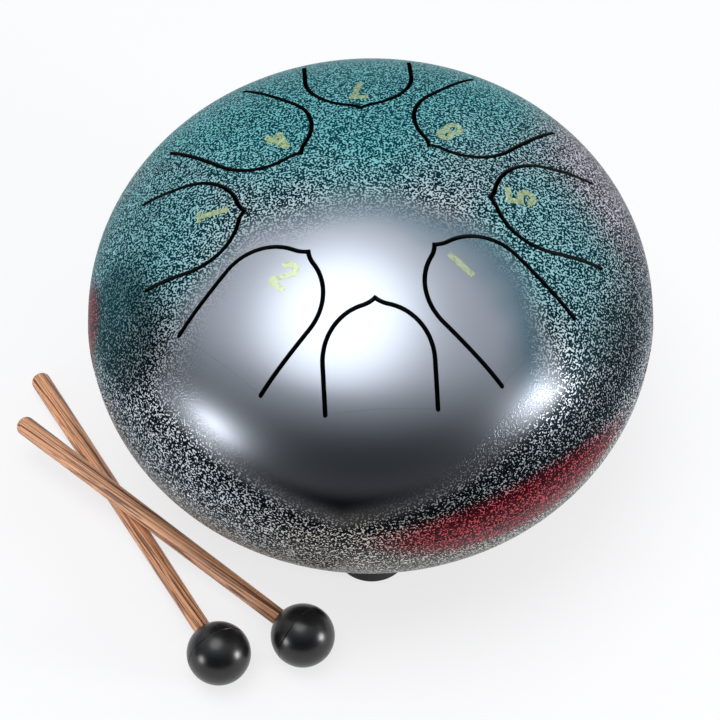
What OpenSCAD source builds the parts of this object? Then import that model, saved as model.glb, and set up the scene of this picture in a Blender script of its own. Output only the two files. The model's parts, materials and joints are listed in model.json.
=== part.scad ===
// Steel tongue drum on three rubber feet, with two mallets lying crossed beside it.
// Two pressed steel shells are welded at a seam. Eight slits in the upper shell each free one tongue.
// Millimetres, +Z up. Z zero is the floor, and X and Y zero are the middle of the whole set.
// The front tongue points to -Y, and the mallets lie at the front left.

/* [Drum] */
// Diameter of the steel shells at the seam
drum_d = 200; // [160:1:320]
// Height of the upper shell above the seam
upper_h = 67; // [60:0.5:100]
// Radius of the upper shell's shoulder in profile
upper_shoulder_r = 57; // [35:0.5:65]
// Depth of the lower shell below the seam
lower_h = 64; // [58:0.5:95]
// Radius of the lower shell's shoulder in profile
lower_shoulder_r = 54.5; // [35:0.5:62]
// Thickness of the steel sheet
sheet_t = 1.5; // [1:0.1:2.5]
// Radius of the weld bead at the seam
weld_r = 1.1; // [0.9:0.1:2]
// How far the weld bead stands proud of the shells
weld_proud = 0.2; // [0.1:0.05:0.5]
// Diameter of the sound hole in the middle of the lower shell
sound_hole_d = 32; // [20:1:70]

/* [Tongues] */
// Width of a tongue, between the middles of its side slits
tongue_w = 37.5; // [28:0.5:44]
// Width of the slits
slit_w = 1.6; // [1:0.1:2.4]
// How far a tongue's point stands in from its round end
point_h = 1.8; // [1:0.1:3]
// Radius of the hollow on each side of the point
point_hollow_r = 10; // [5:0.5:16]
// Hairline where a tongue's root meets the shell, so that the tongue can flex
root_gap = 0.05; // [0.04:0.01:0.2]

/* [Numbers] */
// Height of a note number
number_h = 10.8; // [7:0.5:14]
// Width of a note number
number_w = 6.8; // [5:0.1:9]
// Width of the number's stroke
stroke_w = 2.2; // [1.4:0.1:2.6]
// Distance from a tongue's tip to its number
number_in = 5.6; // [3:0.1:12]
// Thickness of a number sticker
sticker_t = 0.12; // [0.08:0.01:0.4]

/* [Feet] */
// Distance of the feet from the drum's axis
foot_ring_r = 57.5; // [45:0.5:65]
// Turn of the feet around the axis, from the front
foot_turn = -3.5; // [-60:0.5:60]
// Diameter of a foot at the floor
foot_d = 26.6; // [18:0.2:32]
// Diameter of a foot where it meets the shell
foot_top_d = 23; // [16:0.2:30]
// Radius of the foot's lower edge
foot_edge_r = 1.5; // [0.5:0.1:3]
// Height of the lower shell's lowest point above the floor
floor_gap = 4; // [3:0.1:15]
// Diameter of the recess for the screw
recess_d = 11; // [8:0.2:14]
// Height of the recess's end above the floor
recess_h = 7.5; // [6:0.1:9.4]
// Outer diameter of the washer
washer_d = 10; // [8.8:0.1:13]
// Thickness of the washer
washer_t = 1; // [0.5:0.1:1.6]
// Diameter of the screw's head
screw_head_d = 7.6; // [6:0.1:9]
// Height of the screw's head
screw_head_h = 2.4; // [1.5:0.1:4]
// Diameter of the screw's shank
screw_d = 4; // [3:0.1:5]
// How far the screw's shank goes past the shell, on the foot's axis
screw_past = 3; // [2:0.1:8]
// Width of the cross slot in the screw's head
slot_w = 1; // [0.6:0.1:1.4]
// Depth of the cross slot in the screw's head
slot_depth = 1.2; // [0.6:0.1:1.6]
// Clearance around the screw
screw_clear = 0.1; // [0.05:0.05:0.4]

/* [Mallets] */
// Diameter of a mallet's rubber head
head_d = 22.6; // [18:0.2:29]
// Length of the lower mallet's stick, from the middle of its head
lower_stick_l = 144.5; // [110:0.5:200]
// Length of the upper mallet's stick, from the middle of its head
upper_stick_l = 137; // [110:0.5:200]
// Diameter of the stick at the head
stick_head_d = 6.2; // [5:0.1:8]
// Diameter of the stick at the tail
stick_tail_d = 7.1; // [5.8:0.1:9]
// Radius of the tail's rounded edge
tail_edge_r = 2.8; // [0.5:0.1:3]
// How far the stick goes past the head's centre
stick_past = 4; // [1:0.1:7]
// Radius of the moulding line's groove around a head
seam_r = 0.25; // [0.1:0.05:0.5]
// Distance of the moulding line from the head's centre, towards the stick
seam_out = 1.2; // [0.5:0.1:6]
// Gap between the sticks where they cross
cross_gap = 0.1; // [0.05:0.05:1]

/* [Layout] */
// Distance from the drum's axis to the point where the sticks cross
cross_reach = 99.4; // [95:0.1:150]
// Direction of that point from the drum's axis
cross_azimuth = -156.8; // [-165:0.1:-150]
// Heading of the lower mallet from head to tail
lower_heading = 116.2; // [113:0.1:120]
// Distance from the lower mallet's head to the crossing, in plan
lower_cross = 71.5; // [68:0.1:95]
// Heading of the upper mallet from head to tail
upper_heading = 136.2; // [133:0.1:139]
// Distance from the upper mallet's head to the crossing, in plan
upper_cross = 84.9; // [80:0.1:110]

/* [Hidden] */
$fn = 96;
// Extra reach of every cut
over = 1;
NOTES = 8;
note_turn = 360 / NOTES;
FEET = 3;
// Height of the crossbar of a four, and width and height of the foot of a one
bar_share = 0.3;
foot_share = 0.7;
// From the front tongue on, anticlockwise seen from above
tip_shares = [0.404, 0.300, 0.415, 0.315, 0.430, 0.308, 0.422, 0.302];
root_shares = [0.755, 0.762, 0.785, 0.763, 0.770, 0.761, 0.771, 0.750];
// How far each number stands off its tongue's middle line, as shares of the number's width
aside_shares = [0, 0.14, 0.32, 0, 0.07, -0.1, -0.33, -0.09];

// Shells: a spherical crown that runs into a round shoulder, whose circle it crosses at a slight angle
crown_lap = 0.02;
drum_r = drum_d / 2;
function crown_r(h, k) =
    (pow(drum_r - k, 2) + pow(h, 2) - pow(k - crown_lap, 2)) / (2 * (h - k + crown_lap));
// Distance from the axis at which the crown ends, on a surface inset from the outside
function blend_x(h, k, inset) = (drum_r - k) * (crown_r(h, k) - inset) / (crown_r(h, k) - k);
lower_crown_r = crown_r(lower_h, lower_shoulder_r);
seam_z = lower_h + floor_gap;
bead_x = drum_r + weld_proud - weld_r;

// Tongues, in a plan frame whose X runs out from the drum's axis along the tongue
end_r = tongue_w / 2;
end_to_tip = end_r + point_h;
// The hollows beside the point run into the round end, whose circle they cross at a slight angle
hollow_lap = 0.004;
hollow_far = end_r + point_hollow_r - hollow_lap;
hollow_x = (pow(end_to_tip, 2) + pow(point_hollow_r, 2) - pow(hollow_far, 2)) / (2 * end_to_tip);
hollow_y = sqrt(pow(point_hollow_r, 2) - pow(hollow_x, 2));
function tip_x(i) = drum_r * tip_shares[i];
function root_x(i) = drum_r * root_shares[i];
function azimuth(i) = i * note_turn - 90;

// Mallets
head_r = head_d / 2;
tail_r = stick_tail_d / 2;
tail_flat_r = tail_r - tail_edge_r;
lower_tail_x = lower_stick_l - tail_edge_r;
upper_tail_x = upper_stick_l - tail_edge_r;
// The lower mallet rests on its head and on its tail's edge
lower_pitch = asin((head_r - tail_edge_r) / norm([lower_tail_x, tail_flat_r]))
    - atan2(tail_flat_r, lower_tail_x);
function plan(reach, azimuth) = [reach * cos(azimuth), reach * sin(azimuth)];
lower_head = plan(cross_reach, cross_azimuth) - plan(lower_cross, lower_heading);
upper_head = plan(cross_reach, cross_azimuth) - plan(upper_cross, upper_heading);
function stick_r(x, tail_x) =
    (stick_head_d + (stick_tail_d - stick_head_d) * (x - head_r) / (tail_x - head_r)) / 2;
cross_space = stick_r(lower_cross, lower_tail_x) + stick_r(upper_cross, upper_tail_x) + cross_gap;
function way(heading, rise) = [cos(rise) * cos(heading), cos(rise) * sin(heading), sin(rise)];
function square_share(rise) =
    let (n = cross(way(lower_heading, -lower_pitch), way(upper_heading, rise))) abs(n.z) / norm(n);
function rise_over(rise) =
    atan((cross_space / square_share(rise) - lower_cross * tan(lower_pitch)) / upper_cross);
upper_rise = rise_over(rise_over(rise_over(0)));

// Middle of the whole set
function tail_reach(direction, heading, rise, tail_x) =
    let (along = way(heading, rise), share = direction * along)
    tail_x * share + tail_flat_r * sqrt(1 - pow(share, 2)) + tail_edge_r;
drum_reach = drum_r + weld_proud;
set_left = min(
    lower_head.x - tail_reach([-1, 0, 0], lower_heading, -lower_pitch, lower_tail_x),
    upper_head.x - tail_reach([-1, 0, 0], upper_heading, upper_rise, upper_tail_x));
set_front = min(lower_head.y, upper_head.y) - head_r;
middle = [(drum_reach + set_left) / 2, (drum_reach + set_front) / 2, 0];

steel = "slategray";
glow = "palegoldenrod";
wood = "peru";
rubber = "dimgray";
zinc = "silver";

// Moves a piece from the drum's own frame, centred on its seam, to its place in the set
module on_seam() {
    translate([0, 0, seam_z] - middle) children();
}

// Right half of a filled shell's section, drawn upwards from the seam and inset from the outside
module filled_section(h, k, inset) {
    crown = crown_r(h, k);
    intersection() {
        translate([0, h - crown]) circle(crown - inset);
        union() {
            translate([drum_r - k, 0]) circle(k - inset);
            square([blend_x(h, k, inset), h + over]);
        }
        square([drum_r + over, h + over]);
    }
}

module shell_section(h, k) {
    difference() {
        filled_section(h, k, 0);
        filled_section(h, k, sheet_t);
        translate([bead_x, 0]) circle(weld_r);
    }
}

module upper_dome() {
    rotate_extrude() shell_section(upper_h, upper_shoulder_r);
}

// Plan of tongue i out to end_x, grown by grow along its sides and round its pointed end
module tongue_plan(i, end_x, grow) {
    round_x = tip_x(i) + end_to_tip;
    fan_x = tip_x(i) + hollow_x;
    side = end_r + grow;
    translate([round_x, -side]) square([end_x - round_x, 2 * side]);
    intersection() {
        translate([round_x, 0]) circle(side);
        translate([tip_x(i), -side]) square([(round_x + end_x) / 2 - tip_x(i), 2 * side]);
    }
    difference() {
        polygon([[round_x, 0], [fan_x, hollow_y], [fan_x, -hollow_y]]);
        for (y = [hollow_y, -hollow_y])
            translate([fan_x, y]) circle(point_hollow_r - grow);
    }
}

// The opening for tongue i: the tongue and the slit around it, whose two ends are round
module window_plan(i) {
    tongue_plan(i, root_x(i), slit_w / 2);
    for (y = [end_r, -end_r])
        translate([root_x(i), y]) circle(slit_w / 2);
}

module upper_shell() {
    color(steel) on_seam() difference() {
        upper_dome();
        for (i = [0:NOTES - 1])
            rotate([0, 0, azimuth(i)]) linear_extrude(upper_h + over) window_plan(i);
    }
}

module tongue(i) {
    color(steel) on_seam() intersection() {
        upper_dome();
        rotate([0, 0, azimuth(i)]) linear_extrude(upper_h + over)
            tongue_plan(i, root_x(i) - root_gap, -slit_w / 2);
    }
}

// Note numbers are drawn upright, with their middle at the origin
bowl_r = number_w / 2;
top_ring_r = (number_h + stroke_w) / 2 - bowl_r;
half_h = number_h / 2;
bowl_y = bowl_r - half_h;

module block(from, to) {
    translate(from) square(to - from);
}

// A stroke down from one point to another
module stroke(from, to) {
    half = [stroke_w / 2, 0];
    polygon([from - half, to - half, to + half, from + half]);
}

module ring(r) {
    difference() {
        circle(r);
        circle(r - stroke_w);
    }
}

module one() {
    stroke([0, half_h], [0, -half_h]);
}

module one_on_foot() {
    one();
    block([-number_w * foot_share / 2, -half_h], [number_w * foot_share / 2, stroke_w * foot_share - half_h]);
}

module two() {
    translate([0, -bowl_y]) intersection() {
        ring(bowl_r);
        block([-bowl_r, 0], [bowl_r, bowl_r]);
    }
    polygon([
        [bowl_r, -bowl_y], [bowl_r - stroke_w, -bowl_y],
        [-bowl_r, stroke_w - half_h], [stroke_w - bowl_r, stroke_w - half_h]
    ]);
    block([-bowl_r, -half_h], [bowl_r, stroke_w - half_h]);
}

module four() {
    stem = [bowl_r - stroke_w, -half_h];
    bar_y = -half_h + number_h * bar_share;
    stroke([stem.x, half_h], stem);
    stroke([stem.x, half_h], [stroke_w / 2 - bowl_r, bar_y]);
    block([-bowl_r, bar_y - stroke_w / 2], [bowl_r, bar_y + stroke_w / 2]);
}

module five() {
    block([-bowl_r, half_h - stroke_w], [bowl_r, half_h]);
    block([-bowl_r, bowl_y + bowl_r - stroke_w], [stroke_w - bowl_r, half_h]);
    block([-bowl_r, bowl_y + bowl_r - stroke_w], [0, bowl_y + bowl_r]);
    translate([0, bowl_y]) difference() {
        ring(bowl_r);
        block([-bowl_r - over, 0], [0, bowl_r + over]);
    }
}

module seven() {
    block([-bowl_r, half_h - stroke_w], [bowl_r, half_h]);
    stroke([bowl_r - stroke_w / 2, half_h], [-stroke_w / 2, -half_h]);
}

module eight() {
    translate([0, bowl_y]) ring(bowl_r);
    translate([0, half_h - top_ring_r]) ring(top_ring_r);
}

// Lays a flat number on tongue i, with its top towards the middle of the drum
module number_on(i) {
    middle_x = tip_x(i) + number_in + number_h / 2;
    color(glow) on_seam() intersection() {
        rotate([0, 0, azimuth(i)]) linear_extrude(upper_h + over)
            translate([middle_x, number_w * aside_shares[i]]) rotate(90) children();
        rotate_extrude() difference() {
            filled_section(upper_h, upper_shoulder_r, -sticker_t);
            filled_section(upper_h, upper_shoulder_r, 0);
        }
    }
}

module weld_seam() {
    color(steel) on_seam() rotate_extrude() translate([bead_x, 0]) circle(weld_r);
}

// Moves a piece from a foot's own frame, centred on the floor under foot i, to its place in the set
module on_foot(i) {
    rotate([0, 0, foot_turn + i * 360 / FEET - 90]) translate([foot_ring_r, 0, 0]) children();
}

// Height above the floor of the lower shell's outside, at a distance from the drum's axis
function shell_under(x) = floor_gap + lower_crown_r - sqrt(pow(lower_crown_r, 2) - pow(x, 2));
foot_top = shell_under(foot_ring_r + foot_d / 2);
screw_top = shell_under(foot_ring_r) + sheet_t + screw_past;
washer_low = recess_h - washer_t;
screw_hole_r = screw_d / 2 + screw_clear;

module lower_shell() {
    color(steel) difference() {
        on_seam() mirror([0, 0, 1]) rotate_extrude() shell_section(lower_h, lower_shoulder_r);
        translate([0, 0, -over] - middle) cylinder(r = sound_hole_d / 2, h = seam_z);
        translate(-middle) for (i = [0:FEET - 1])
            on_foot(i) cylinder(r = screw_hole_r, h = screw_top);
    }
}

module foot(i) {
    flat_r = foot_d / 2 - foot_edge_r;
    color(rubber) translate(-middle) on_foot(i) difference() {
        rotate_extrude() {
            polygon([
                [0, 0], [flat_r, 0], [flat_r, foot_edge_r], [foot_d / 2, foot_edge_r],
                [foot_top_d / 2, foot_top], [0, foot_top]
            ]);
            translate([flat_r, foot_edge_r]) intersection() {
                circle(foot_edge_r);
                translate([0, -foot_edge_r]) square(foot_edge_r);
            }
        }
        translate([-foot_ring_r, 0, floor_gap + lower_crown_r]) sphere(lower_crown_r);
        translate([0, 0, -over]) cylinder(r = recess_d / 2, h = recess_h + over);
        cylinder(r = screw_hole_r, h = foot_top);
    }
}

module foot_washers() {
    color(zinc) translate(-middle) for (i = [0:FEET - 1])
        on_foot(i) translate([0, 0, washer_low]) difference() {
            cylinder(r = washer_d / 2, h = washer_t);
            translate([0, 0, -over]) cylinder(r = screw_hole_r, h = washer_t + 2 * over);
        }
}

module screw() {
    head_low = washer_low - screw_head_h;
    end_low = screw_top - screw_d / 2;
    difference() {
        union() {
            translate([0, 0, head_low]) cylinder(r = screw_head_d / 2, h = screw_head_h);
            translate([0, 0, washer_low]) cylinder(r = screw_d / 2, h = end_low - washer_low);
            translate([0, 0, end_low])
                cylinder(r1 = screw_d / 2, r2 = screw_d / 8, h = screw_top - end_low);
        }
        for (turn = [0, 90])
            rotate([0, 0, turn]) translate([-screw_d / 2, -slot_w / 2, head_low - over])
                cube([screw_d, slot_w, slot_depth + over]);
    }
}

module foot_screws() {
    color(zinc) translate(-middle) for (i = [0:FEET - 1])
        on_foot(i) screw();
}

// Moves a mallet's piece from its own frame, centred on its head with the stick along +Z, to its place
module on_mallet(head, heading, rise) {
    translate([head.x, head.y, head_r] - middle)
        rotate([0, 90 - rise, heading]) children();
}

module stick(tail_x) {
    color(wood) rotate_extrude() {
        polygon([
            [0, -stick_past], [stick_head_d / 2, -stick_past], [stick_head_d / 2, head_r],
            [tail_r, tail_x], [0, tail_x]
        ]);
        translate([0, tail_x]) square([tail_flat_r, tail_edge_r]);
        translate([tail_flat_r, tail_x]) intersection() {
            circle(tail_edge_r);
            square(tail_edge_r);
        }
    }
}

module head() {
    color(rubber) rotate_extrude() difference() {
        intersection() {
            circle(head_r);
            translate([0, -head_r]) square([head_r, head_d]);
        }
        translate([-over, -stick_past]) square([over + stick_head_d / 2, head_d]);
        translate([sqrt(pow(head_r, 2) - pow(seam_out, 2)), seam_out]) circle(seam_r);
    }
}

module on_lower_mallet() {
    on_mallet(lower_head, lower_heading, -lower_pitch) children();
}

module on_upper_mallet() {
    on_mallet(upper_head, upper_heading, upper_rise) children();
}

module tongue_front() { tongue(0); }
module tongue_front_right() { tongue(1); }
module tongue_right() { tongue(2); }
module tongue_back_right() { tongue(3); }
module tongue_back() { tongue(4); }
module tongue_back_left() { tongue(5); }
module tongue_left() { tongue(6); }
module tongue_front_left() { tongue(7); }
module number_front_right() { number_on(1) one(); }
module number_right() { number_on(2) five(); }
module number_back_right() { number_on(3) eight(); }
module number_back() { number_on(4) seven(); }
module number_back_left() { number_on(5) four(); }
module number_left() { number_on(6) one_on_foot(); }
module number_front_left() { number_on(7) two(); }
module foot_front() { foot(0); }
module foot_back_right() { foot(1); }
module foot_back_left() { foot(2); }
module lower_mallet_stick() { on_lower_mallet() stick(lower_tail_x); }
module lower_mallet_head() { on_lower_mallet() head(); }
module upper_mallet_stick() { on_upper_mallet() stick(upper_tail_x); }
module upper_mallet_head() { on_upper_mallet() head(); }

upper_shell();
tongue_front();
tongue_front_right();
tongue_right();
tongue_back_right();
tongue_back();
tongue_back_left();
tongue_left();
tongue_front_left();
number_front_right();
number_right();
number_back_right();
number_back();
number_back_left();
number_left();
number_front_left();
weld_seam();
lower_shell();
foot_front();
foot_back_right();
foot_back_left();
foot_washers();
foot_screws();
lower_mallet_stick();
lower_mallet_head();
upper_mallet_stick();
upper_mallet_head();
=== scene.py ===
"""Dresses the steel tongue drum and its two mallets, on a pale floor under soft lamps."""

import bisect
import json
import math

import bpy
from mathutils import Color, Matrix, Vector

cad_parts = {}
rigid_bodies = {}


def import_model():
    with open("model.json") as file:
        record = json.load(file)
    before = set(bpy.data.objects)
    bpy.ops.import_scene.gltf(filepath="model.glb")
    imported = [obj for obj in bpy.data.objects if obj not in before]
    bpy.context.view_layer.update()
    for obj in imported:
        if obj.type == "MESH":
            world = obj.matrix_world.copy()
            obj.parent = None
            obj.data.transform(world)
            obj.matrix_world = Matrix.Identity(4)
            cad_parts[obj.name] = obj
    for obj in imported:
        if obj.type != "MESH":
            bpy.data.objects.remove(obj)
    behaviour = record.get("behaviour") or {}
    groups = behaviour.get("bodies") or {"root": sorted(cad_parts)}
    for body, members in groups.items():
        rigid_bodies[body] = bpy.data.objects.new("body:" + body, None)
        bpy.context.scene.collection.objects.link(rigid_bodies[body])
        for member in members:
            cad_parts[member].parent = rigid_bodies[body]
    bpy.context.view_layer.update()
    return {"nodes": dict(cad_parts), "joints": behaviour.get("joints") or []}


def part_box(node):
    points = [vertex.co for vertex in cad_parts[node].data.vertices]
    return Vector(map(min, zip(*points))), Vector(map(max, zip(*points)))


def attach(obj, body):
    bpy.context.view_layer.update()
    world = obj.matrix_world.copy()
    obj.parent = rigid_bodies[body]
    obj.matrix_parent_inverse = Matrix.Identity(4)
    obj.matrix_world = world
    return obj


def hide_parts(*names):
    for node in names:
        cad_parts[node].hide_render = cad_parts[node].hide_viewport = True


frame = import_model()

bl_info = {
    "name": "Steel Tongue Drum",
    "version": (1, 0, 0),
    "blender": (4, 5, 0),
    "location": "View3D > Sidebar > Drum",
    "description": "Dresses a steel tongue drum and its mallets, piece by piece",
    "category": "Object",
}

MM = 0.001
UP = Vector((0, 0, 1))


def middle_of(node):
    """Middle of a node's box."""
    low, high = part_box(node)
    return (low + high) / 2


def rgb(red, green, blue):
    """A colour as a screen shows it, in the linear light that shaders work in."""
    return tuple(Color((red / 255, green / 255, blue / 255)).from_srgb_to_scene_linear())


# The drum's axis meets the plane of its seam here
HUB = middle_of("weld_seam")
DOME_LOW, DOME_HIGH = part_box("upper_shell")
DRUM_R = (DOME_HIGH.x - DOME_LOW.x) / 2
DOME_HEIGHT = DOME_HIGH.z - HUB.z
TONGUES = [joint for joint in frame["joints"] if joint["child"].startswith("tongue_")]

# Near blacks, in linear light. The first and the third also stand in for light: a painted dark
# reflection low on the silver shoulder, and painted shade on the slit walls and inside the drum
COAT_AND_SHADE_BLACK = (0.004, 0.004, 0.005)
PIT = (0.002, 0.004, 0.006)
INSIDE = (0.006, 0.006, 0.007)
GRAPHITE = (0.012, 0.012, 0.013)
# What the enamel's shine is tinted with at a slant, so that its valleys stay deep
EDGE_TINT = (0.55, 0.62, 0.64, 1)


class DrumSizes(bpy.types.PropertyGroup):
    """Sizes of the drum's sheet, slits and paint."""

    shoulder: bpy.props.FloatProperty(
        name="Shoulder",
        description="Radius of the upper shell's shoulder in profile",
        default=57 * MM,
        unit="LENGTH",
    )
    easing: bpy.props.FloatProperty(
        name="Easing",
        description="Turn over which the crown eases into the shoulder",
        default=math.radians(10),
        unit="ROTATION",
    )
    sheet: bpy.props.FloatProperty(
        name="Sheet",
        description="Thickness of the steel sheet",
        default=1.5 * MM,
        unit="LENGTH",
    )
    tongue_width: bpy.props.FloatProperty(
        name="Tongue width",
        description="Width of a tongue, between the middles of its side slits",
        default=37.5 * MM,
        unit="LENGTH",
    )
    slit: bpy.props.FloatProperty(
        name="Slit",
        description="Width of the slits",
        default=1.6 * MM,
        unit="LENGTH",
    )
    point: bpy.props.FloatProperty(
        name="Point",
        description="How far a tongue's point stands in from its round end",
        default=1.8 * MM,
        unit="LENGTH",
    )
    hollow: bpy.props.FloatProperty(
        name="Hollow",
        description="Radius of the hollow on each side of a tongue's point",
        default=10 * MM,
        unit="LENGTH",
    )
    root_gap: bpy.props.FloatProperty(
        name="Root gap",
        description="Hair-wide gap that parts a tongue from the shell at its root",
        default=0.03 * MM,
        unit="LENGTH",
    )
    crinkle: bpy.props.FloatProperty(
        name="Crinkle",
        description="Distance from one ridge of the crinkled paint to the next",
        default=1.15 * MM,
        unit="LENGTH",
    )
    crinkle_height: bpy.props.FloatProperty(
        name="Crinkle height",
        description="Height of the crinkled paint's ridges",
        default=0.1 * MM,
        unit="LENGTH",
    )


class FinishColours(bpy.types.PropertyGroup):
    """Colours of the paint, numbers, wood, rubber, zinc and floor."""

    silver: bpy.props.FloatVectorProperty(
        name="Silver",
        description="Smooth silver paint round the front tongues",
        default=rgb(152, 158, 168),
        subtype="COLOR",
    )
    slate: bpy.props.FloatVectorProperty(
        name="Slate",
        description="Blue grey that the silver fades to before it turns rough",
        default=rgb(98, 124, 138),
        subtype="COLOR",
    )
    steel: bpy.props.FloatVectorProperty(
        name="Steel",
        description="Ridges of the crinkled paint between silver and teal",
        default=rgb(200, 206, 214),
        subtype="COLOR",
    )
    teal: bpy.props.FloatVectorProperty(
        name="Teal",
        description="Ridges of the teal fade at the back and sides",
        default=rgb(126, 208, 212),
        subtype="COLOR",
    )
    deep_teal: bpy.props.FloatVectorProperty(
        name="Deep teal",
        description="Valleys between the ridges of the teal fade",
        default=rgb(0, 66, 76),
        subtype="COLOR",
    )
    red: bpy.props.FloatVectorProperty(
        name="Red",
        description="Ridges of the red fade low on the rim",
        default=rgb(182, 68, 78),
        subtype="COLOR",
    )
    deep_red: bpy.props.FloatVectorProperty(
        name="Deep red",
        description="Valleys between the ridges of the red fade",
        default=rgb(52, 5, 14),
        subtype="COLOR",
    )
    lilac: bpy.props.FloatVectorProperty(
        name="Lilac grey",
        description="Ridges of the pale fade at the right of the back",
        default=rgb(224, 216, 228),
        subtype="COLOR",
    )
    sand: bpy.props.FloatVectorProperty(
        name="Sand",
        description="Warm grey ridges low on the rim and on the lower shell",
        default=rgb(200, 192, 184),
        subtype="COLOR",
    )
    number: bpy.props.FloatVectorProperty(
        name="Number",
        description="Pale film of the note numbers",
        default=rgb(234, 250, 180),
        subtype="COLOR",
    )
    wood_light: bpy.props.FloatVectorProperty(
        name="Light wood",
        description="Wood between the grain lines",
        default=rgb(232, 168, 122),
        subtype="COLOR",
    )
    wood_dark: bpy.props.FloatVectorProperty(
        name="Dark wood",
        description="Grain lines of the wood",
        default=rgb(78, 34, 16),
        subtype="COLOR",
    )
    rubber: bpy.props.FloatVectorProperty(
        name="Rubber",
        description="Black rubber of the heads and the feet",
        default=rgb(13, 13, 14),
        subtype="COLOR",
    )
    zinc: bpy.props.FloatVectorProperty(
        name="Zinc",
        description="Zinc plate of the screws and washers",
        default=rgb(205, 207, 210),
        subtype="COLOR",
    )
    floor: bpy.props.FloatVectorProperty(
        name="Floor",
        description="Plain pale floor",
        default=rgb(250, 250, 251),
        subtype="COLOR",
    )


class Value:
    """A number or vector that varies over a surface. Sums and products of it add Math nodes."""

    def __init__(self, graph, socket):
        self.graph = graph
        self.socket = socket

    def math(self, operation, *terms):
        """A Math node on the terms given."""
        settings = {"operation": operation}
        return self.graph.node("ShaderNodeMath", settings, dict(enumerate(terms)))

    def __add__(self, other):
        return self.math("ADD", self, other)

    def __radd__(self, other):
        return self.math("ADD", other, self)

    def __sub__(self, other):
        return self.math("SUBTRACT", self, other)

    def __rsub__(self, other):
        return self.math("SUBTRACT", other, self)

    def __mul__(self, other):
        return self.math("MULTIPLY", self, other)

    def __rmul__(self, other):
        return self.math("MULTIPLY", other, self)

    def __truediv__(self, other):
        return self.math("DIVIDE", self, other)

    def __rtruediv__(self, other):
        return self.math("DIVIDE", other, self)

    def __pow__(self, other):
        return self.math("POWER", self, other)

    def __rpow__(self, other):
        return self.math("POWER", other, self)

    def __abs__(self):
        return self.math("ABSOLUTE", self)

    def most(self, other):
        """The larger of this value and another."""
        return self.math("MAXIMUM", self, other)

    def rise(self, low, high):
        """Nought below low, one above high, and smooth between them."""
        settings = {"interpolation_type": "SMOOTHSTEP"}
        inputs = {"Value": self, "From Min": low, "From Max": high, "To Min": 0, "To Max": 1}
        return self.graph.node("ShaderNodeMapRange", settings, inputs)


class Graph:
    """The nodes of a material or a world."""

    def __init__(self, owner):
        owner.use_nodes = True
        self.tree = owner.node_tree

    def node(self, kind, settings=None, inputs=None, output=0):
        """Adds a node, sets it, feeds its sockets, and returns one of its outputs."""
        made = self.tree.nodes.new(kind)
        for setting, value in (settings or {}).items():
            setattr(made, setting, value)
        for socket, value in (inputs or {}).items():
            if isinstance(value, Value):
                self.tree.links.new(value.socket, made.inputs[socket])
            else:
                made.inputs[socket].default_value = value
        return Value(self, made.outputs[output])

    def centred(self, vector, centre=(0, 0, 0), size=(1, 1, 1), turn=(0, 0, 0)):
        """Places counted from a centre, along turned axes, in units of a size."""
        return self.node(
            "ShaderNodeMapping",
            {"vector_type": "TEXTURE"},
            {"Vector": vector, "Location": centre, "Rotation": turn, "Scale": size},
        )

    def length(self, vector):
        """Length of a vector."""
        settings = {"operation": "LENGTH"}
        return self.node("ShaderNodeVectorMath", settings, {0: vector}, output="Value")

    def along(self, vector, other):
        """How far a vector reaches along another one."""
        settings = {"operation": "DOT_PRODUCT"}
        return self.node("ShaderNodeVectorMath", settings, {0: vector, 1: other}, output="Value")

    def parts(self, vector):
        """The three numbers of a vector."""
        split = self.node("ShaderNodeSeparateXYZ", inputs={"Vector": vector}).socket.node
        return [Value(self, socket) for socket in split.outputs]

    def noise(self, vector, scale, detail=0.0, roughness=0.5, distortion=0.0):
        """Noise from nought to one."""
        return self.node(
            "ShaderNodeTexNoise",
            None,
            {
                "Vector": vector,
                "Scale": scale,
                "Detail": detail,
                "Roughness": roughness,
                "Distortion": distortion,
            },
        )

    def blend(self, first, second, share):
        """A colour between two colours."""
        ends = [value if isinstance(value, Value) else (*value, 1) for value in (first, second)]
        settings = {"data_type": "RGBA"}
        return self.node("ShaderNodeMix", settings, {0: share, 6: ends[0], 7: ends[1]}, output=2)


class Finish(Graph):
    """A material being made, with its shader."""

    def __init__(self, name, **constants):
        self.material = bpy.data.materials.new(name)
        super().__init__(self.material)
        self.shader = self.tree.nodes["Principled BSDF"]
        for socket, value in constants.items():
            self.shader.inputs[socket.replace("_", " ")].default_value = value
        self.place = self.node("ShaderNodeTexCoord", output="Object")

    def feed(self, socket, value):
        """Links a value to one of the shader's sockets."""
        self.tree.links.new(value.socket, self.shader.inputs[socket])

    def bump(self, height, distance):
        """Bends the surface's shading as a height over it would."""
        inputs = {"Height": height, "Distance": distance, "Strength": 1}
        self.feed("Normal", self.node("ShaderNodeBump", None, inputs))


class DrumPaint(Finish):
    """Paint of the drum, laid out in units of its radius from the middle of its seam."""

    def __init__(self, name, **constants):
        super().__init__(name, **constants)
        self.on_drum = self.centred(self.place, HUB, (DRUM_R, DRUM_R, DRUM_R))
        # Sways the edges of the fades, to both sides of nought
        self.wander = (self.noise(self.on_drum, scale=3.0, detail=2.0) - 0.5) * 0.35

    def patch(self, centre, size, inner, outer):
        """One inside a soft-edged ellipsoid, and nought outside it."""
        far = self.length(self.centred(self.on_drum, centre, size))
        return 1 - (far + self.wander).rise(inner, outer)

    def rim_patch(self, azimuth, half_turn, middle, half_height):
        """One inside a soft-edged stretch of the rim, and nought outside it."""
        turned = self.centred(self.on_drum, turn=(0, 0, math.radians(azimuth)))
        out, aside, up = self.parts(turned)
        sideways = aside / math.sin(math.radians(half_turn))
        upwards = (up - middle) / half_height
        far = (sideways * sideways + upwards * upwards) ** 0.5
        return (1 - (far + self.wander).rise(0.7, 1.25)) * out.rise(0, 0.3)

    def inside(self):
        """One on the faces that look towards the drum's middle, and nought on the others."""
        facing = self.node("ShaderNodeNewGeometry", output="Normal")
        return 1 - self.along(facing, self.on_drum).rise(-0.4, -0.2)


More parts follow.
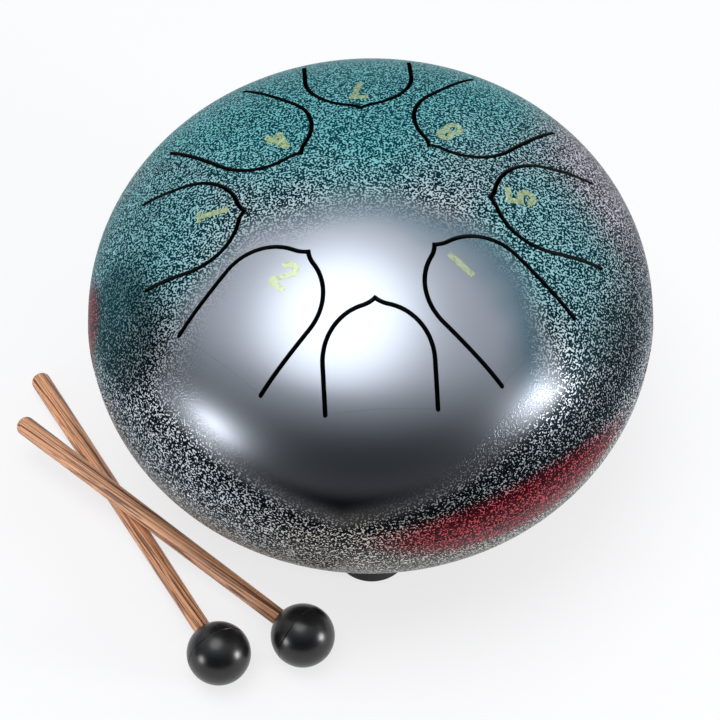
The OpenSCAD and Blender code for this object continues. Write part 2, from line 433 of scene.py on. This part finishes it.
def enamel():
    """Silver paint that turns to a crinkled one with teal, grey and red fades."""
    sizes = bpy.context.scene.drum_sizes
    colours = bpy.context.scene.finish_colours
    finish = DrumPaint("enamel", Coat_Roughness=0.3, Specular_Tint=EDGE_TINT)
    across, _, height = finish.parts(finish.on_drum)

    # The silver is smooth round the front tongues, and fades to slate before it turns rough
    smooth = finish.patch((-0.06, -0.64, 0.5), (0.62, 0.58, 1.5), inner=0.88, outer=1.2)
    above_rim = (height - abs(across + 0.15) * 0.3 + finish.wander * 0.1).rise(0.08, 0.23)
    rough = (1 - smooth).most(1 - above_rim)
    bright = finish.patch((-0.18, -0.68, 0.5), (0.64, 0.64, 1.5), inner=0.84, outer=1.16)
    slaty = (1 - bright) * height.rise(0.35, 0.48)
    silver = finish.blend(colours.silver, colours.slate, slaty)
    # Painted dark reflection: the silver turns near black low on the shoulder, where it mirrors the
    # dark side of the room
    shaded = finish.blend(COAT_AND_SHADE_BLACK, silver, height.rise(0.2, 0.45))

    # Teal at the back and sides, pale grey at the right of the back, sand below
    back = finish.patch((-0.1, 0.9, 0.3), (1.05, 1.02, 2.0), inner=0.6, outer=1.15)
    left = finish.patch((-0.85, 0.1, 0.5), (0.52, 0.55, 0.7), inner=0.4, outer=1.15)
    right = finish.patch((0.6, -0.12, 0.5), (0.36, 0.5, 1.0), inner=0.3, outer=1.1)
    grey = finish.patch((1.0, 0.35, 0.3), (0.42, 0.5, 1.0), inner=0.5, outer=1.1)
    under = 1 - (height + finish.wander * 0.5).rise(-0.2, 0.08)
    front = finish.patch((0.1, -1.05, -0.1), (0.8, 0.4, 0.4), inner=0.5, outer=1.1)
    rear = finish.patch((-0.1, 1.05, 0.2), (1.1, 0.6, 1.0), inner=0.4, outer=1.1) * (1 - grey)
    teal = back.most(left * 0.76).most(right * 0.68) * (1 - grey) * (1 - under)

    # Red low on the rim, and a painted dark reflection where the shoulder faces the dark side of
    # the room
    red = finish.rim_patch(azimuth=-62, half_turn=29, middle=0.02, half_height=0.13)
    left_red = finish.rim_patch(azimuth=-177, half_turn=8, middle=0.06, half_height=0.18)
    red = red.most(left_red)
    painted_dark_reflection = finish.rim_patch(azimuth=-64, half_turn=60, middle=0.24, half_height=0.18)
    left_painted_dark_reflection = finish.rim_patch(azimuth=-165, half_turn=15, middle=0.3, half_height=0.16)
    painted_dark_reflection = painted_dark_reflection.most(left_painted_dark_reflection)

    crest = finish.blend(colours.steel, colours.lilac, grey)
    crest = finish.blend(crest, colours.sand, front.most(under))
    crest = finish.blend(crest, colours.teal, teal)
    crest = finish.blend(crest, colours.deep_teal, rear * 0.25)
    # Painted dark reflection: the ridges darken where the shoulder mirrors the dark side of the
    # room
    crest = finish.blend(crest, (0, 0, 0), painted_dark_reflection * 0.6)
    crest = finish.blend(crest, colours.red, red)
    valley = finish.blend(PIT, colours.deep_teal, teal)
    valley = finish.blend(valley, colours.teal, rear * 0.12)
    valley = finish.blend(valley, colours.deep_red, red)

    maze = finish.noise(finish.place, 1.7 / sizes.crinkle, 0.4, roughness=0.4, distortion=0.2)
    ridge = (maze + height.rise(0.1, 0.5) * 0.04 - painted_dark_reflection * 0.03).rise(0.54, 0.62)
    paint = finish.blend(finish.blend(shaded, crest, rough * rough), valley, (1 - ridge) * rough)
    # Faces towards the drum's middle get a near black coat, which is also painted shade for the
    # inside of the drum
    finish.feed("Base Color", finish.blend(paint, INSIDE, finish.inside()))
    metal = 0.35 + height.rise(-0.1, 0.12) * 0.65
    finish.feed("Metallic", (1 - ridge * rough * rough * 0.25) * metal)
    finish.feed("Coat Weight", (0.4 - rough * 0.34) * height.rise(0.17, 0.44))
    finish.feed("Roughness", 0.32 + rough * 0.06)
    finish.bump(ridge * rough, sizes.crinkle_height)
    return finish.material


def primer_and_painted_shade():
    """Dark coat of the cut edges and the insides, near black as painted shade, so that the slits
    and the inside of the drum read deep.
    """
    finish = Finish("dark_primer", Roughness=0.7)
    cloud = finish.noise(finish.place, scale=500.0, detail=3.0, roughness=0.6)
    finish.feed("Base Color", finish.blend(COAT_AND_SHADE_BLACK, GRAPHITE, cloud))
    return finish.material


def lie_of(stick):
    """Middle of a stick, and the turn that lays the X axis along it."""
    low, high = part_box(stick)
    corners = [vertex.co for vertex in frame["nodes"][stick].data.vertices]
    tail = min(corners, key=lambda corner: corner.x)
    head = max(corners, key=lambda corner: corner.x)
    return (low + high) / 2, (head - tail).to_track_quat("X", "Z").to_euler()


def wood(stick):
    """Oiled wood whose dark grain runs along a stick."""
    colours = bpy.context.scene.finish_colours
    finish = Finish(stick + "_wood", Roughness=0.42, Coat_Weight=0.15, Coat_Roughness=0.3)
    middle, turn = lie_of(stick)
    grain_size = (60 * MM, MM, MM)
    pore_size = (4 * MM, 0.25 * MM, 0.25 * MM)
    drawn_out = finish.centred(finish.place, middle, grain_size, turn)
    aside = finish.parts(drawn_out)[1]
    rings = aside * 0.9 + finish.noise(drawn_out, scale=0.5, detail=1.5) * 3.5
    lines = 1 - rings.math("PINGPONG", rings, 0.5).rise(0.1, 0.22)
    swirl = finish.noise(drawn_out, scale=1.3, detail=1.5, distortion=0.4)
    uneven = finish.noise(drawn_out, scale=1.5, detail=1.0).rise(0.35, 0.6)
    bands = finish.noise(drawn_out, scale=0.35, detail=2.0).rise(0.35, 0.65)
    short = finish.centred(finish.place, middle, pore_size, turn)
    pores = finish.noise(short, scale=1.0, detail=2.0)
    streaks = 1 - swirl.rise(0.37, 0.43)
    dark = streaks.most(lines * (1 - uneven * 0.4)) * 0.9
    shade = pores.rise(0.35, 0.8) * 0.3 + bands * 0.12
    base = finish.blend(colours.wood_light, colours.wood_dark, shade)
    finish.feed("Base Color", finish.blend(base, colours.wood_dark, dark))
    finish.bump(pores * 0.3 - dark, 0.08 * MM)
    return finish.material


def rubber(name, gloss):
    """Black rubber with faint dust and scuffs."""
    colours = bpy.context.scene.finish_colours
    finish = Finish(name)
    dust = finish.noise(finish.place, scale=900.0, detail=3.0, roughness=0.6).rise(0.62, 0.8)
    smudge = finish.noise(finish.place, scale=120.0, detail=3.0, roughness=0.6)
    dusty = tuple(part * 3 + 0.02 for part in colours.rubber)
    finish.feed("Base Color", finish.blend(colours.rubber, dusty, dust * 0.5 + smudge * 0.15))
    finish.feed("Roughness", gloss + smudge * 0.15)
    finish.bump(smudge + dust * 0.3, 0.05 * MM)
    return finish.material


def film():
    """Pale film of the numbers, worn thin in places."""
    colours = bpy.context.scene.finish_colours
    finish = Finish("number_film", Roughness=0.34, Metallic=0.5)
    wear = finish.noise(finish.place, scale=700.0, detail=3.0, roughness=0.6)
    darker = tuple(part * 0.75 for part in colours.number)
    finish.feed("Base Color", finish.blend(colours.number, darker, wear.rise(0.4, 0.7)))
    finish.feed("Alpha", 0.38 - wear.rise(0.45, 0.7) * 0.1)
    return finish.material


def plate():
    """Bright zinc plate with a slightly uneven shine."""
    colours = bpy.context.scene.finish_colours
    finish = Finish("zinc_plate", Metallic=1.0)
    cloud = finish.noise(finish.place, scale=400.0, detail=3.0, roughness=0.6)
    darker = tuple(part * 0.8 for part in colours.zinc)
    finish.feed("Base Color", finish.blend(colours.zinc, darker, cloud))
    finish.feed("Roughness", 0.2 + cloud * 0.2)
    return finish.material


def paper():
    """Pale floor that looks as bright where the camera or a gloss sees it, but for its shadows."""
    pale = bpy.context.scene.finish_colours.floor
    own_light = 0.77
    finish = Finish("floor_paper", Roughness=0.9)
    grain = finish.noise(finish.place, scale=60.0, detail=2.0)
    finish.feed("Base Color", finish.blend(pale, tuple(part * 0.99 for part in pale), grain))
    camera = finish.node("ShaderNodeLightPath", output="Is Camera Ray")
    gloss = finish.node("ShaderNodeLightPath", output="Is Glossy Ray")
    through = finish.node("ShaderNodeLightPath", output="Is Transmission Ray")
    glow = finish.node("ShaderNodeEmission", None, {"Color": (*pale, 1), "Strength": 1})
    base = Value(finish, finish.shader.outputs["BSDF"])
    share = (camera + gloss + through) * own_light
    seen = finish.node("ShaderNodeMixShader", None, {0: share, 1: base, 2: glow})
    finish.tree.links.new(seen.socket, finish.tree.nodes["Material Output"].inputs["Surface"])
    return finish.material


def paint_over(piece, *materials):
    """Gives a piece its materials."""
    piece.data.materials.clear()
    for material in materials:
        piece.data.materials.append(material)


def finish_node(node, material):
    """Keeps a CAD node's shape and gives it a finish."""
    paint_over(frame["nodes"][node], material)


def pick(piece, parts, wanted):
    """Opens a piece for editing, with the vertices, edges or polygons selected that pass a test."""
    bpy.ops.object.select_all(action="DESELECT")
    piece.select_set(True)
    bpy.context.view_layer.objects.active = piece
    bpy.ops.object.mode_set(mode="EDIT")
    modes = {"vertices": "VERT", "edges": "EDGE", "polygons": "FACE"}
    bpy.ops.mesh.select_mode(type=modes[parts])
    bpy.ops.mesh.select_all(action="DESELECT")
    bpy.ops.object.mode_set(mode="OBJECT")
    for part in getattr(piece.data, parts):
        part.select = wanted(part)
    bpy.ops.object.mode_set(mode="EDIT")


def draw_line(name, places):
    """A new object that is one line through places, left open for editing."""
    bpy.ops.object.select_all(action="DESELECT")
    bpy.ops.mesh.primitive_plane_add(size=MM)
    piece = bpy.context.active_object
    piece.name = piece.data.name = name
    bpy.ops.object.mode_set(mode="EDIT")
    bpy.ops.mesh.select_mode(type="VERT")
    bpy.ops.mesh.merge(type="CENTER")
    bpy.ops.transform.translate(value=places[0])
    for place, after in zip(places, places[1:]):
        bpy.ops.mesh.extrude_vertices_move(TRANSFORM_OT_translate={"value": after - place})
    bpy.ops.mesh.select_all(action="SELECT")
    return piece


def arc(centre, radius, start, end, steps):
    """Places along an arc in plan, after its start."""
    places = []
    for step in range(1, steps + 1):
        turn = math.radians(start + (end - start) * step / steps)
        places.append(centre + Vector((math.cos(turn), math.sin(turn), 0)) * radius)
    return places


def modify(piece, kind, **settings):
    """Adds a modifier to a piece and applies it."""
    bpy.context.view_layer.objects.active = piece
    modifier = piece.modifiers.new(kind.lower(), kind)
    for setting, value in settings.items():
        setattr(modifier, setting, value)
    bpy.ops.object.modifier_apply(modifier=modifier.name)


class DomeCurve:
    """Section of a dome whose crown eases into a shoulder: distances, heights and tilts."""

    STEPS = 90
    # How near the turning point is found, in radians
    CLOSE = 1e-9
    # Nearer to the axis than this, the dome faces straight up
    AT_AXIS = 0.001 * MM

    def __init__(self, sizes):
        shoulder = sizes.shoulder
        # The crown's radius, whose arc runs through the dome's top and touches the shoulder's
        squares = (DRUM_R - shoulder) ** 2 + DOME_HEIGHT**2 - shoulder**2
        crown = squares / (2 * (DOME_HEIGHT - shoulder))
        low, high = math.radians(5), math.radians(80)
        while high - low > self.CLOSE:
            turning = (low + high) / 2
            across, down = self.spans(turning, sizes.easing)
            steeper = down / across > (crown - DOME_HEIGHT) / (crown - DRUM_R)
            low, high = (low, turning) if steeper else (turning, high)
        tighter = (crown - DRUM_R) / across
        step = math.pi / 2 / self.STEPS
        self.places = [(0.0, DOME_HEIGHT, 0.0)]
        for count in range(self.STEPS):
            tilt = (count + 0.5) * step
            bend = crown - tighter * self.ease(tilt, turning, sizes.easing)
            away, height, _ = self.places[-1]
            self.places.append((
                away + bend * math.cos(tilt) * step,
                height - bend * math.sin(tilt) * step,
                tilt + step / 2,
            ))
        self.keys = [math.atan2(away, height) for away, height, _ in self.places]

    def ease(self, tilt, turning, easing):
        """Nought on the crown, one on the shoulder."""
        share = min(1, max(0, (tilt - turning) / easing + 0.5))
        return share * share * (3 - 2 * share)

    def spans(self, turning, easing):
        """How far a shoulder of unit radius would reach across and down."""
        step = math.pi / 2 / self.STEPS
        tilts = [(count + 0.5) * step for count in range(self.STEPS)]
        eases = [self.ease(tilt, turning, easing) * step for tilt in tilts]
        across = sum(ease * math.cos(tilt) for ease, tilt in zip(eases, tilts))
        down = sum(ease * math.sin(tilt) for ease, tilt in zip(eases, tilts))
        return across, down

    def facing(self, place):
        """Direction that the dome's outside faces at a place."""
        offset = place - HUB
        out = Vector((offset.x, offset.y, 0))
        if out.length < self.AT_AXIS:
            return UP.copy()
        key = math.atan2(out.length, offset.z)
        after = min(max(bisect.bisect(self.keys, key), 1), len(self.keys) - 1)
        before = after - 1
        share = (key - self.keys[before]) / (self.keys[after] - self.keys[before])
        first, second = self.places[before][2], self.places[after][2]
        tilt = first + (second - first) * min(1, max(0, share))
        return out.normalized() * math.sin(tilt) + UP * math.cos(tilt)


class DRUM_OT_stage(bpy.types.Operator):
    """Floor, lamps, world and the camera at the photograph's angle."""

    bl_idname = "drum.stage"
    bl_label = "Stage"

    FLOOR_WIDTH = 30
    # The floor lies this much below the feet, so that no faces fall together
    FLOOR_DROP = 0.02 * MM
    # Distance and width of the round lamps
    LAMP_AWAY = 0.9
    LAMP_WIDTH = 0.28
    # What the drum mirrors, from the camera's side to the side behind the drum
    DARK_SIDE = (0.03, 0.035, 0.04)
    PALE_WALL = (0.8, 0.82, 0.85)

    def execute(self, context):
        bpy.ops.object.select_all(action="DESELECT")
        place = (0, 0, -self.FLOOR_DROP)
        bpy.ops.mesh.primitive_plane_add(size=self.FLOOR_WIDTH, location=place)
        floor = context.active_object
        floor.name = "floor"
        paint_over(floor, paper())
        self.add_camera(context)
        self.add_lamps()
        self.add_world(context)
        context.scene.view_settings.view_transform = "Standard"
        return {"FINISHED"}

    def add_camera(self, context):
        """A long lens, looking down on the set from the front."""
        azimuth = math.radians(-2.02)
        elevation = math.radians(54)
        roll = math.radians(-1.44)
        distance = 1.2753
        aim = HUB + Vector((-4.11, 0.15, -29.17)) * MM
        back = Vector((
            math.sin(azimuth) * math.cos(elevation),
            -math.cos(azimuth) * math.cos(elevation),
            math.sin(elevation),
        ))
        bpy.ops.object.camera_add(location=aim + back * distance)
        camera = context.active_object
        turn = (-back).to_track_quat("-Z", "Y").to_matrix() @ Matrix.Rotation(roll, 3, "Z")
        camera.rotation_euler = turn.to_euler()
        camera.data.sensor_width = 36
        camera.data.lens = 176.43
        camera.data.clip_start = 0.01
        context.scene.camera = camera

    def add_lamps(self):
        """A broad overhead lamp, and a small round one at each side of the front."""
        self.add_sun(azimuth=164, elevation=82, width=38, strength=1.2)
        self.add_round(azimuth=-150, elevation=6, strength=2.3)
        self.add_round(azimuth=-24, elevation=9, strength=5.5)

    def add_world(self, context):
        """Pale walls, but for the dark side that the camera looks from."""
        world = bpy.data.worlds.new("studio")
        graph = Graph(world)
        direction = graph.node("ShaderNodeTexCoord", output="Generated")
        palest = self.away(azimuth=90, elevation=60)
        share = graph.along(direction, palest).rise(0.0, 0.85)
        colour = graph.blend(self.DARK_SIDE, self.PALE_WALL, share)
        graph.tree.links.new(colour.socket, graph.tree.nodes["Background"].inputs["Color"])
        context.scene.world = world

    def away(self, azimuth, elevation):
        """Direction from the drum towards an azimuth and elevation in degrees."""
        turn = math.radians(azimuth)
        rise = math.radians(elevation)
        level = math.cos(rise)
        return Vector((math.cos(turn) * level, math.sin(turn) * level, math.sin(rise)))

    def add_sun(self, azimuth, elevation, width, strength):
        """A broad lamp far away, whose width is an angle in degrees."""
        bpy.ops.object.light_add(type="SUN")
        lamp = bpy.context.active_object
        lamp.rotation_euler = self.away(azimuth, elevation).to_track_quat("Z", "Y").to_euler()
        lamp.data.angle = math.radians(width)
        lamp.data.energy = strength

    def add_round(self, azimuth, elevation, strength):
        """A small round lamp that faces the drum."""
        away = self.away(azimuth, elevation)
        bpy.ops.object.light_add(type="AREA", location=HUB + away * self.LAMP_AWAY)
        lamp = bpy.context.active_object
        lamp.rotation_euler = away.to_track_quat("Z", "Y").to_euler()
        lamp.data.shape = "DISK"
        lamp.data.size = self.LAMP_WIDTH
        lamp.data.energy = strength


class DRUM_OT_shells(bpy.types.Operator):
    """The steel shells with their weld, and the tongues that the slits free in the upper one."""

    bl_idname = "drum.shells"
    bl_label = "Shells and tongues"

    DOME_STEPS = 256
    # Corners of the spun dome that fall together are merged within this reach
    MERGE_REACH = 0.005 * MM
    # Steps of the slit's round end, of a hollow beside the point, and of a leg's rounded end
    ROUND_STEPS = 18
    HOLLOW_STEPS = 6
    LEG_STEPS = 5
    # Share of the slit's width that rounds a leg's end
    LEG_ROUND = 0.48
    # The new blade's legs end here, in units of the distance from its point to its round's middle
    LEG_END = 1.5
    # Height of the blade's lower edge above the seam, as a share of the dome's height
    BLADE_FOOT = 0.2
    # A corner this near to a cut's plane counts as on it
    CUT_REACH = 0.0001 * MM
    # Faces this near to the plane of a tongue's root may cross it
    ROOT_REACH = 4 * MM
    # Faces of a skin look along the dome's facing at least as much as this
    SKIN_FACING = 0.95

    def execute(self, context):
        self.sizes = context.scene.drum_sizes
        self.curve = DomeCurve(self.sizes)
        self.plan_point()
        paint, dark = enamel(), primer_and_painted_shade()
        shell = self.press_dome(paint, dark)
        blade = self.make_blade(dark)
        for joint in TONGUES:
            self.cut_slit(shell, blade, joint)
        bpy.data.objects.remove(blade)
        for joint in TONGUES:
            tongue = self.free_tongue(shell, joint)
            self.smooth(tongue)
            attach(tongue, joint["child"])
            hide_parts(joint["child"])
        self.smooth(shell)
        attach(shell, "drum")
        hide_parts("upper_shell")
        for node in ("weld_seam", "lower_shell"):
            finish_node(node, paint)
        return {"FINISHED"}

    def plan_point(self):
        """Where the slit's round end, its hollows and its point lie."""
        sizes = self.sizes
        self.end_r = sizes.tongue_width / 2
        self.middle = Vector((self.end_r + sizes.point, 0, 0))
        reach = self.end_r + sizes.hollow
        hollow_x = (self.middle.x**2 + sizes.hollow**2 - reach**2) / (2 * self.middle.x)
        self.hollow = Vector((hollow_x, math.sqrt(sizes.hollow**2 - hollow_x**2), 0))
        edge = sizes.hollow + sizes.slit / 2
        self.inset = hollow_x + math.sqrt(edge**2 - self.hollow.y**2)

    def lie(self, joint):
        """A tongue's root, the directions out and aside from the drum's axis, and its length."""
        root = Vector(joint["pos_m"])
        out = Vector((root.x - HUB.x, root.y - HUB.y, 0)).normalized()
        corners = [vertex.co for vertex in frame["nodes"][joint["child"]].data.vertices]
        length = max((root - corner).dot(out) for corner in corners)
        return root, out, UP.cross(out), length

    def press_dome(self, paint, dark):
        """A dome of sheet steel, whole."""
        section = [HUB + Vector((away, 0, height)) for away, height, _ in self.curve.places]
        shell = draw_line("upper_shell_skin", section)
        bpy.ops.mesh.spin(steps=self.DOME_STEPS, angle=math.tau, center=HUB, axis=UP)
        bpy.ops.mesh.select_all(action="SELECT")
        bpy.ops.mesh.remove_doubles(threshold=self.MERGE_REACH)
        bpy.ops.mesh.normals_make_consistent(inside=False)
        bpy.ops.object.mode_set(mode="OBJECT")
        paint_over(shell, paint, dark)
        modify(
            shell,
            "SOLIDIFY",
            thickness=self.sizes.sheet,
            offset=-1,
            use_even_offset=True,
            material_offset=1,
            material_offset_rim=1,
        )
        return shell

    def make_blade(self, dark):
        """An upright blade with a slit's plan, its legs along X and its point at the origin."""
        meet = self.hollow - self.middle
        meet_turn = math.degrees(math.atan2(meet.y, meet.x))
        point_turn = math.degrees(math.atan2(-self.hollow.y, -self.hollow.x))
        leg_end = self.middle.x * self.LEG_END
        half = [Vector((leg_end, self.end_r, 0)), Vector((self.middle.x, self.end_r, 0))]
        half += arc(self.middle, self.end_r, 90, meet_turn, self.ROUND_STEPS)
        hollow_r = self.sizes.hollow
        half += arc(self.hollow, hollow_r, meet_turn - 180, point_turn, self.HOLLOW_STEPS)
        other_half = [Vector((place.x, -place.y, 0)) for place in half[-2::-1]]
        blade = draw_line("blade", half + other_half)
        bpy.ops.mesh.extrude_edges_move(TRANSFORM_OT_translate={"value": UP * DOME_HEIGHT})
        bpy.ops.object.mode_set(mode="OBJECT")
        paint_over(blade, dark)
        modify(blade, "SOLIDIFY", thickness=self.sizes.slit, offset=0, use_even_offset=True)

        def is_end(edge):
            first, second = (blade.data.vertices[corner].co for corner in edge.vertices)
            return min(first.x, second.x) > leg_end - MM and abs(first.z - second.z) > MM

        pick(blade, "edges", is_end)
        round_r = self.sizes.slit * self.LEG_ROUND
        bpy.ops.mesh.bevel(offset=round_r, segments=self.LEG_STEPS, affect="EDGES")
        bpy.ops.object.mode_set(mode="OBJECT")
        return blade

    def cut_slit(self, shell, blade, joint):
        """Cuts one tongue's slit through the dome."""
        root, out, _, length = self.lie(joint)
        bpy.ops.object.select_all(action="DESELECT")
        blade.select_set(True)
        bpy.context.view_layer.objects.active = blade
        bpy.ops.object.duplicate()
        cutter = bpy.context.active_object
        reach = max(vertex.co.x for vertex in cutter.data.vertices)
        wanted = length + self.inset + self.sizes.slit / 2
        pick(cutter, "vertices", lambda vertex: vertex.co.x > self.middle.x + self.sizes.slit)
        bpy.ops.transform.translate(value=(wanted - reach, 0, 0))
        bpy.ops.object.mode_set(mode="OBJECT")
        foot = root - out * (length + self.inset)
        cutter.location = (foot.x, foot.y, HUB.z + DOME_HEIGHT * self.BLADE_FOOT)
        cutter.rotation_euler = (0, 0, math.atan2(out.y, out.x))
        modify(
            shell,
            "BOOLEAN",
            object=cutter,
            operation="DIFFERENCE",
            solver="MANIFOLD",
            material_mode="TRANSFER",
        )
        bpy.data.objects.remove(cutter)

    def free_tongue(self, shell, joint):
        """Parts a tongue from the dome at its root, and closes both cuts."""
        root, out, aside, length = self.lie(joint)

        def near_root(face):
            offsets = [shell.data.vertices[corner].co - root for corner in face.vertices]
            nearest = min(abs(offset.dot(out)) for offset in offsets)
            sideways = abs((face.center - root).dot(aside))
            return nearest < self.ROOT_REACH and sideways < self.end_r

        pick(shell, "polygons", near_root)
        bpy.ops.mesh.select_mode(type="EDGE")
        bpy.ops.mesh.bisect(plane_co=root, plane_no=out, threshold=self.CUT_REACH)
        bpy.ops.mesh.edge_split(type="EDGE")
        bpy.ops.object.mode_set(mode="OBJECT")

        def on_tongue(face):
            offset = face.center - root
            inwards = -offset.dot(out) / length
            return abs(offset.dot(aside)) < self.end_r / 3 and 0.3 < inwards < 0.7

        pick(shell, "polygons", on_tongue)
        bpy.ops.mesh.select_linked()
        bpy.ops.mesh.separate(type="SELECTED")
        bpy.ops.object.mode_set(mode="OBJECT")
        tongue, = (piece for piece in bpy.context.selected_objects if piece is not shell)
        tongue.name = tongue.data.name = joint["child"] + "_skin"
        pick(shell, "edges", lambda edge: False)
        bpy.ops.mesh.select_non_manifold()
        shell.active_material_index = 1
        bpy.ops.mesh.edge_face_add()
        bpy.ops.object.mode_set(mode="OBJECT")
        pick(tongue, "polygons", lambda face: True)
        bpy.ops.mesh.bisect(
            plane_co=root - out * self.sizes.root_gap,
            plane_no=out,
            threshold=self.CUT_REACH,
            clear_outer=True,
            use_fill=True,
        )
        bpy.ops.object.mode_set(mode="OBJECT")
        return tongue

    def smooth(self, piece):
        """Shades the skins as one smooth dome, and the cut faces flat."""
        mesh = piece.data
        mesh.shade_smooth()
        facings = [self.curve.facing(vertex.co) for vertex in mesh.vertices]
        normals = []
        for face in mesh.polygons:
            toward = face.normal.dot(self.curve.facing(face.center))
            for corner in face.vertices:
                bent = facings[corner] if toward > 0 else -facings[corner]
                normals.append(bent if abs(toward) > self.SKIN_FACING else face.normal)
        mesh.normals_split_custom_set(normals)


class DRUM_OT_numbers(bpy.types.Operator):
    """Note numbers, one near the tip of each tongue but the front one."""

    bl_idname = "drum.numbers"
    bl_label = "Numbers"

    def execute(self, context):
        material = film()
        for node in frame["nodes"]:
            if node.startswith("number_"):
                finish_node(node, material)
        return {"FINISHED"}


class DRUM_OT_feet(bpy.types.Operator):
    """The rubber feet with their screws and washers."""

    bl_idname = "drum.feet"
    bl_label = "Feet"

    def execute(self, context):
        material = rubber("foot_rubber", 0.6)
        for node in ("foot_front", "foot_back_right", "foot_back_left"):
            finish_node(node, material)
        material = plate()
        for node in ("foot_washers", "foot_screws"):
            finish_node(node, material)
        return {"FINISHED"}


class DRUM_OT_mallets(bpy.types.Operator):
    """The two mallets, wooden sticks with rubber heads."""

    bl_idname = "drum.mallets"
    bl_label = "Mallets"

    def execute(self, context):
        material = rubber("head_rubber", 0.22)
        for mallet in ("lower_mallet", "upper_mallet"):
            finish_node(mallet + "_head", material)
            finish_node(mallet + "_stick", wood(mallet + "_stick"))
        return {"FINISHED"}


STEPS = (DRUM_OT_stage, DRUM_OT_shells, DRUM_OT_numbers, DRUM_OT_feet, DRUM_OT_mallets)


class DRUM_PT_panel(bpy.types.Panel):
    """Lists the drum's sizes and colours and the steps that make its pieces."""

    bl_idname = "DRUM_PT_panel"
    bl_label = "Steel Tongue Drum"
    bl_space_type = "VIEW_3D"
    bl_region_type = "UI"
    bl_category = "Drum"

    def draw(self, context):
        for step in STEPS:
            self.layout.operator(step.bl_idname)
        for group in (context.scene.drum_sizes, context.scene.finish_colours):
            for name in group.bl_rna.properties.keys():
                if name not in ("rna_type", "name"):
                    self.layout.prop(group, name)


CLASSES = (DrumSizes, FinishColours, *STEPS, DRUM_PT_panel)


def register():
    """Adds the classes, and their settings to the scene."""
    for each in CLASSES:
        bpy.utils.register_class(each)
    bpy.types.Scene.drum_sizes = bpy.props.PointerProperty(type=DrumSizes)
    bpy.types.Scene.finish_colours = bpy.props.PointerProperty(type=FinishColours)


def unregister():
    """Takes the settings and the classes away again."""
    del bpy.types.Scene.finish_colours
    del bpy.types.Scene.drum_sizes
    for each in reversed(CLASSES):
        bpy.utils.unregister_class(each)


def main():
    """Makes the pieces in order."""
    register()
    bpy.ops.drum.stage()
    bpy.ops.drum.shells()
    bpy.ops.drum.numbers()
    bpy.ops.drum.feet()
    bpy.ops.drum.mallets()


if __name__ == "__main__":
    main()
